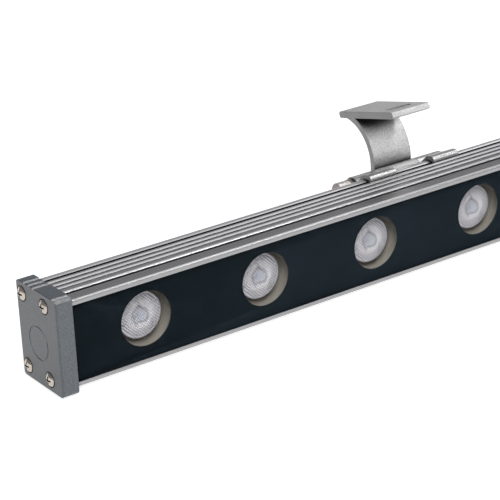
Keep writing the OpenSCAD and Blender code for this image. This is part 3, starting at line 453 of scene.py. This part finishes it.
for name in nodes:
    slots = nodes[name].data.materials
    slots.clear()
    slots.append(PAINT[name])


# ---------------------------------------------------------------- lenses
def bell(r, middle, width):
    return math.exp(-((r - middle) / width) ** 2)


def lens_profile(r):
    """Rise of the beaded face over LENS_TOP at r, in mm: a raised ring round a dimple."""
    if r >= BEAD_EDGE:
        return 0.0
    ring = RING_RISE * bell(r, RING_R, RING_WIDTH) * min((BEAD_EDGE - r) / 1.2, 1.0)
    dimple = DIMPLE_DEPTH * bell(r, 0.0, DIMPLE_WIDTH)
    ledge = LEDGE_DEPTH * bell(r, LEDGE_R, LEDGE_WIDTH)
    return ring - dimple - ledge


def circle(bm, r, y, sides, middle=(0.0, 0.0)):
    """Vertices of a circle that faces along Y, round a middle in X and Z."""
    turns = [2 * math.pi * k / sides for k in range(sides)]
    return [bm.verts.new((middle[0] + r * math.cos(t), y, middle[1] + r * math.sin(t)))
            for t in turns]


def join(bm, one, other):
    """Faces between two circles of the same number of sides."""
    sides = len(one)
    for k in range(sides):
        after = (k + 1) % sides
        bm.faces.new((one[k], one[after], other[after], other[k]))


def lens_mesh():
    """Lens whose beaded face looks along -Y, on the axis X = Z = 0, with its foot at Y = 0."""
    bm = bmesh.new()
    step = BEAD_PITCH / BEAD_CELLS
    count = int(2 * GRID_HALF / step)
    cos_turn, sin_turn = math.cos(BEAD_TURN), math.sin(BEAD_TURN)
    grid = {}

    def place(a, b):
        """Place of a point of the beads' grid in mm, and its r."""
        x, z = a * cos_turn - b * sin_turn, a * sin_turn + b * cos_turn
        r = math.hypot(x, z)
        bead = abs(math.cos(math.pi * a / BEAD_PITCH)) * abs(math.cos(math.pi * b / BEAD_PITCH))
        fade = min(max((BEAD_EDGE - 0.1 - r) / 0.4, 0), 1)
        rise = lens_profile(r) + BEAD_RISE * bead ** 0.75 * fade
        return (x, -(LENS_TOP + rise), z), r

    def vert(i, j):
        if (i, j) not in grid:
            point, r = place(-GRID_HALF + i * step, -GRID_HALF + j * step)
            grid[i, j] = bm.verts.new(point) if r < BEAD_EDGE else None
        return grid[i, j]

    for i in range(count):
        for j in range(count):
            cell = [vert(i, j), vert(i + 1, j), vert(i + 1, j + 1), vert(i, j + 1)]
            if all(cell):
                bm.faces.new(cell)
    loops = [circle(bm, r, -y, RIM_SIDES) for r, y in LENS_BODY]
    for one, other in zip(loops, loops[1:]):
        join(bm, one, other)
    for angle in LEG_ANGLES:
        turn = math.radians(angle)
        middle = (LEG_ORBIT * math.cos(turn), -LEG_ORBIT * math.sin(turn))
        top, foot = [circle(bm, LEG_R, -y, LEG_SIDES, middle) for y in (LEG_TOP, 0.0)]
        join(bm, top, foot)
        bm.faces.new(foot)
    for v in bm.verts:
        v.co *= MM
    bmesh.ops.recalc_face_normals(bm, faces=bm.faces)
    me = bpy.data.meshes.new("beaded_lens")
    bm.to_mesh(me)
    bm.free()
    for p in me.polygons:
        p.use_smooth = True
    me.materials.append(LENS)
    return me


LENS_MESH = lens_mesh()
for i in range(1, LENS_COUNT + 1):
    lo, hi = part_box(f"lens_{i}")
    o = bpy.data.objects.new(f"beaded_lens_{i}", LENS_MESH)
    scene.collection.objects.link(o)
    o.location = ((lo.x + hi.x) / 2, hi.y, (lo.z + hi.z) / 2)
    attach(o, "lamp")
    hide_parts(f"lens_{i}")

# ---------------------------------------------------------------- stage and light
bm = bmesh.new()
bmesh.ops.create_grid(bm, x_segments=2, y_segments=2, size=FLOOR_SIZE)
me = bpy.data.meshes.new("floor")
bm.to_mesh(me)
bm.free()
floor = bpy.data.objects.new("floor", me)
floor.location = (0.5, 0, -FLOOR_DROP)
scene.collection.objects.link(floor)
me.materials.append(floor_white())


def studio_world():
    """Grey room: darkest halfway up, paler to the horizon and overhead, dimmer front right."""
    world = bpy.data.worlds.new("studio")
    scene.world = world
    world.use_nodes = True
    t = Tree(world.node_tree)

    def grey_ramp(source, stops):
        return t.ramp(source, [(p, (v, v * 1.005, v * 1.015)) for p, v in stops])

    direction = t.node("ShaderNodeTexCoord").outputs["Generated"]
    height = grey_ramp(t.split(direction)["Z"], [
        (0.0, 0.46), (0.1, 0.36), (0.25, 0.24), (0.42, 0.22), (0.6, 0.34), (1.0, 0.5)])
    front_right = t.node("ShaderNodeVectorMath", {0: direction, 1: (0.59, -0.81, 0.0)},
                         operation="DOT_PRODUCT").outputs["Value"]
    dimmed = t.times(height, grey_ramp(front_right, [(0.3, 1.0), (0.75, 0.8)]))
    room = t.node("ShaderNodeBackground", {"Color": dimmed})
    t.node("ShaderNodeOutputWorld", {"Surface": room.outputs["Background"]})


def area(name, at, aim, size, power):
    """Rectangular lamp at a place, turned to its aim, in metres and watts."""
    d = bpy.data.lights.new(name, "AREA")
    d.shape = "RECTANGLE"
    d.size, d.size_y = size
    d.energy = power
    o = bpy.data.objects.new(name, d)
    scene.collection.objects.link(o)
    o.location = at
    o.rotation_mode = "QUATERNION"
    o.rotation_quaternion = (Vector(aim) - Vector(at)).to_track_quat("-Z", "Y")


studio_world()
area("key_front", (-0.8, -2.5, 2.0), (0.3, 0, 0.05), (2.0, 1.3), 54.0)
area("key_right", (1.40, -1.04, 2.05), (0.1, 0, 0.05), (0.5, 0.5), 8.0)
area("soft_box_right", (1.5, 0.45, 1.75), (0.3, 0, 0.05), (1.0, 2.2), 7.0)
area("panel_front_right", (1.7, -2.0, 0.95), (0.3, 0, 0.05), (2.0, 1.1), 8.0)
